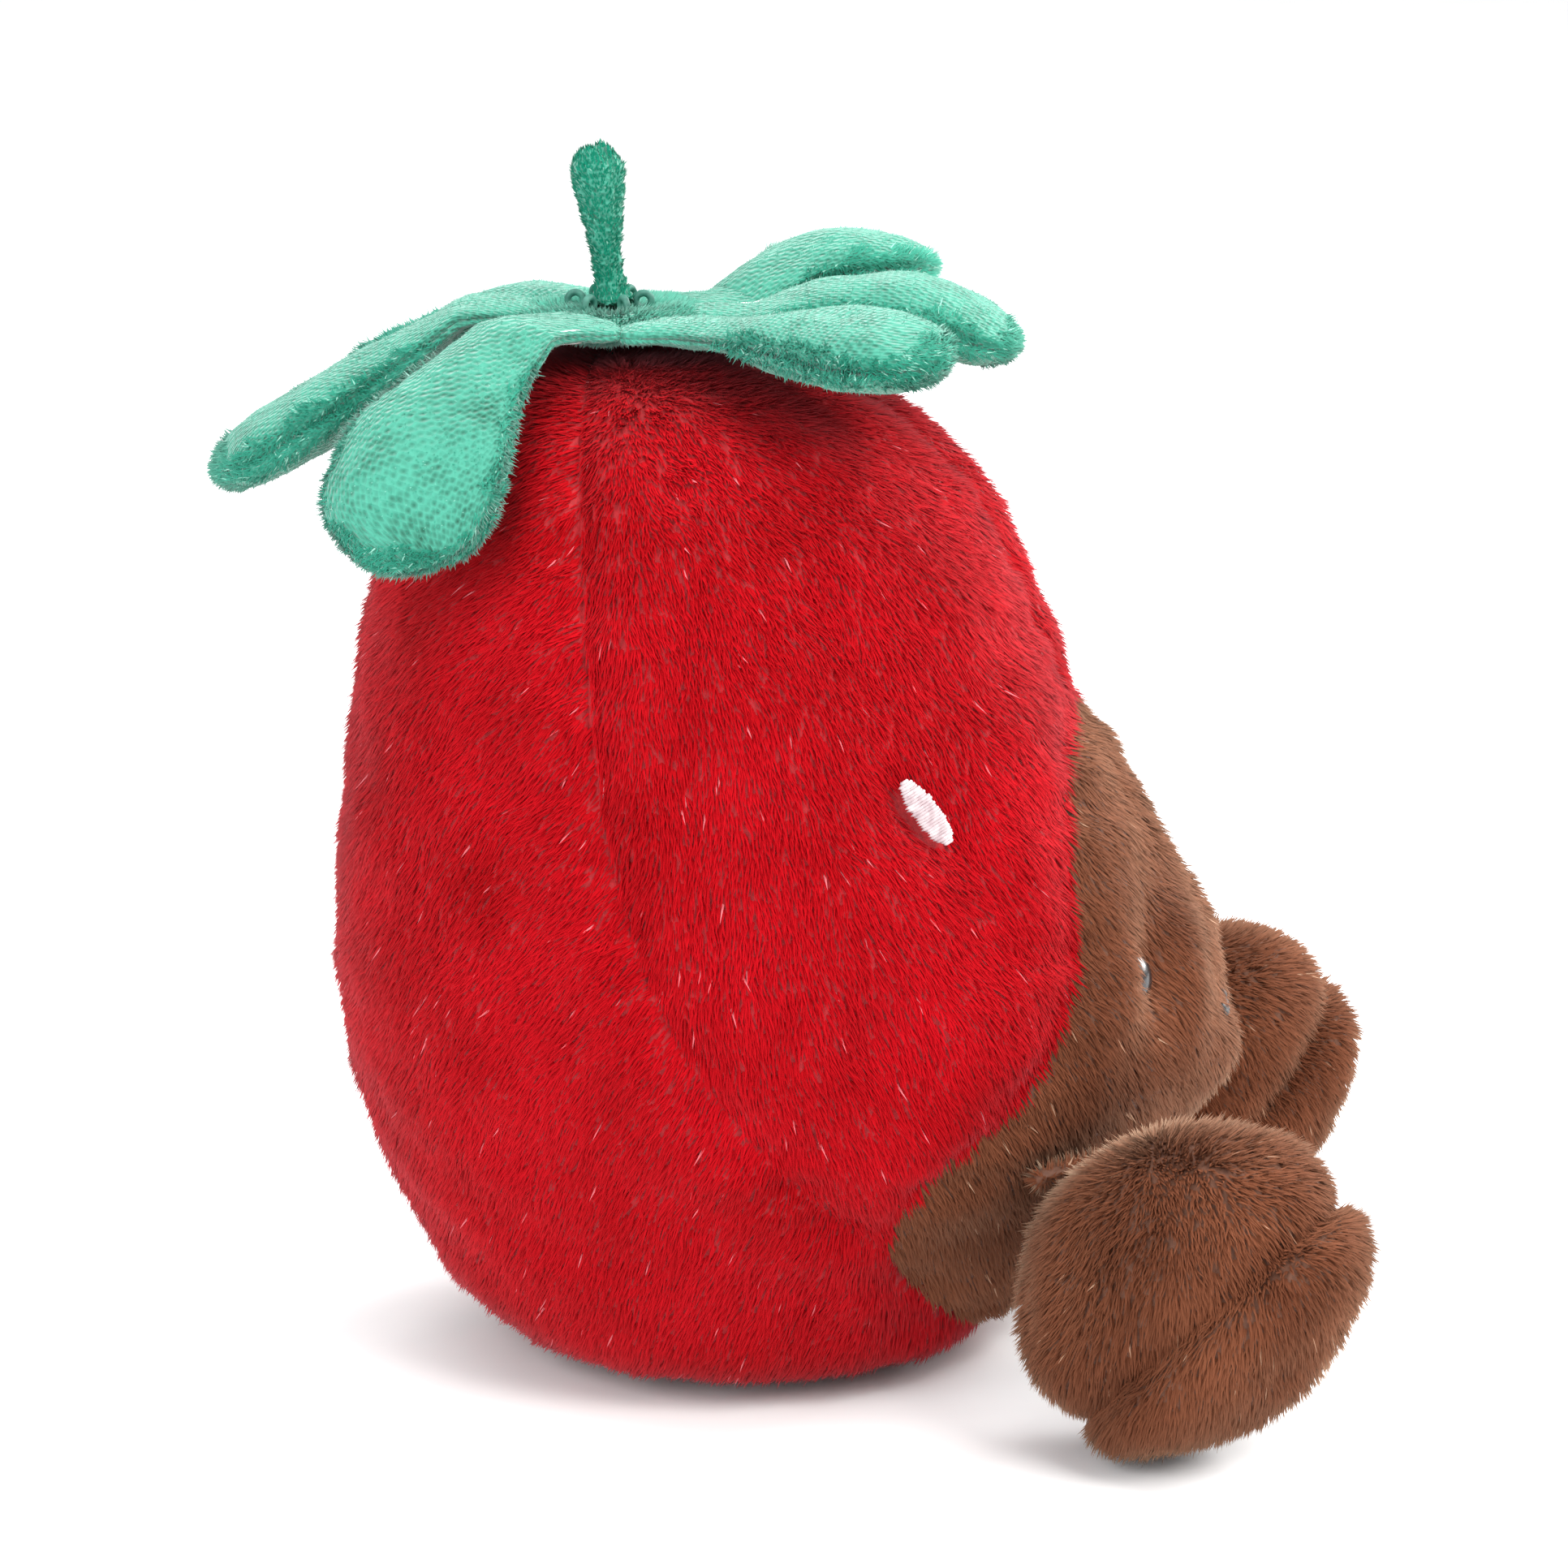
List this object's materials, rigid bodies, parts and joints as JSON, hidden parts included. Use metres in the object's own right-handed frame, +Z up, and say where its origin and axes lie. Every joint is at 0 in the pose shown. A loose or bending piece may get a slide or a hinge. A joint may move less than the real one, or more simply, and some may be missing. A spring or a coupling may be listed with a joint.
{
  "type": "plush strawberry toy",
  "caption": "Palm-size plush strawberry toy with a chocolate-dip face, sewn-on feet, a stuffed leaf cap and a stem, sitting upright on a flat weighted seat.",
  "frame": {"origin": "middle of the flat seat that the toy rests on", "axes": "+Z up; the toy faces -Y; +X is towards the toy's own left"},
  "size_m": [0.0992, 0.1186, 0.1233],
  "materials": {
    "red_plush": "short brushed pile, soft sheen",
    "brown_plush": "short brushed pile, soft sheen",
    "green_plush": "very short pile on a stretched knit",
    "fibre_fill": "loose polyester fibre",
    "pouch_cloth": "thin woven cloth",
    "pellet_plastic": "plain moulded",
    "eye_plastic": "polished",
    "washer_plastic": "plain moulded",
    "white_thread": "satin stitch, silky",
    "black_thread": "silky",
    "red_thread": "plain sewing thread",
    "green_thread": "plain sewing thread"
  },
  "bodies": {
    "root": {"back_panel": "red_plush", "face_panel": "brown_plush", "right_side_panel": "red_plush", "left_side_panel": "red_plush", "body_stuffing": "fibre_fill", "pellet_pouch": "pouch_cloth", "weight_pellets": "pellet_plastic", "closing_stitches": "red_thread", "mouth_stitch": "black_thread", "right_eye": "eye_plastic", "left_eye": "eye_plastic", "right_eye_washer": "washer_plastic", "left_eye_washer": "washer_plastic", "right_seed_stitch": "white_thread", "left_seed_stitch": "white_thread", "right_ankle_seam": "brown_plush", "left_ankle_seam": "brown_plush", "cap_centre_upper": "green_plush", "cap_centre_lower": "green_plush", "cap_tack_stitches": "green_thread", "cap_tack_thread": "green_thread"},
    "right_foot": {"right_foot_upper": "brown_plush", "right_foot_sole": "brown_plush", "right_foot_stuffing": "fibre_fill"},
    "left_foot": {"left_foot_upper": "brown_plush", "left_foot_sole": "brown_plush", "left_foot_stuffing": "fibre_fill"},
    "leaf_front": {"leaf_front_upper": "green_plush", "leaf_front_lower": "green_plush", "leaf_front_wadding": "fibre_fill"},
    "leaf_front_right": {"leaf_front_right_upper": "green_plush", "leaf_front_right_lower": "green_plush", "leaf_front_right_wadding": "fibre_fill"},
    "leaf_front_left": {"leaf_front_left_upper": "green_plush", "leaf_front_left_lower": "green_plush", "leaf_front_left_wadding": "fibre_fill"},
    "leaf_back": {"leaf_back_upper": "green_plush", "leaf_back_lower": "green_plush", "leaf_back_wadding": "fibre_fill"},
    "leaf_back_right": {"leaf_back_right_upper": "green_plush", "leaf_back_right_lower": "green_plush", "leaf_back_right_wadding": "fibre_fill"},
    "leaf_back_left": {"leaf_back_left_upper": "green_plush", "leaf_back_left_lower": "green_plush", "leaf_back_left_wadding": "fibre_fill"},
    "stem": {"stem_sleeve": "green_plush", "stem_wadding": "fibre_fill"}
  },
  "joints": [
    {"name": "right_foot_lift", "type": "hinge", "parent": "root", "child": "right_foot", "pos_m": [-0.02345, -0.03755, 0.02578], "axis": [-0.6944, 0.7196, 0], "range_deg": [-18, 18], "stiffness_Nm_per_rad": 0.03},
    {"name": "left_foot_lift", "type": "hinge", "parent": "root", "child": "left_foot", "pos_m": [0.02345, -0.03755, 0.02578], "axis": [-0.6944, -0.7196, 0], "range_deg": [-18, 18], "stiffness_Nm_per_rad": 0.03},
    {"name": "leaf_front_lift", "type": "hinge", "parent": "root", "child": "leaf_front", "pos_m": [0, -0.00534, 0.108], "axis": [-1, 0, 0], "range_deg": [-10, 30], "stiffness_Nm_per_rad": 0.004},
    {"name": "leaf_front_right_lift", "type": "hinge", "parent": "root", "child": "leaf_front_right", "pos_m": [-0.00858, -0.00261, 0.108], "axis": [-0.816, 0.5781, 0], "range_deg": [-6, 30], "stiffness_Nm_per_rad": 0.004},
    {"name": "leaf_front_left_lift", "type": "hinge", "parent": "root", "child": "leaf_front_left", "pos_m": [0.00858, -0.00261, 0.108], "axis": [-0.816, -0.5781, 0], "range_deg": [-12, 30], "stiffness_Nm_per_rad": 0.004},
    {"name": "leaf_back_lift", "type": "hinge", "parent": "root", "child": "leaf_back", "pos_m": [0, 0.02433, 0.108], "axis": [1, 0, 0], "range_deg": [0, 45], "stiffness_Nm_per_rad": 0.004},
    {"name": "leaf_back_right_lift", "type": "hinge", "parent": "root", "child": "leaf_back_right", "pos_m": [-0.01227, 0.01784, 0.108], "axis": [0.5621, 0.8271, 0], "range_deg": [0, 45], "stiffness_Nm_per_rad": 0.004},
    {"name": "leaf_back_left_lift", "type": "hinge", "parent": "root", "child": "leaf_back_left", "pos_m": [0.00973, 0.0207, 0.108], "axis": [0.7551, -0.6556, 0], "range_deg": [0, 45], "stiffness_Nm_per_rad": 0.004},
    {"name": "stem_bend", "type": "hinge", "parent": "root", "child": "stem", "pos_m": [0, 0.0095, 0.11], "axis": [1, 0, 0], "range_deg": [-30, 30], "stiffness_Nm_per_rad": 0.002}
  ]
}
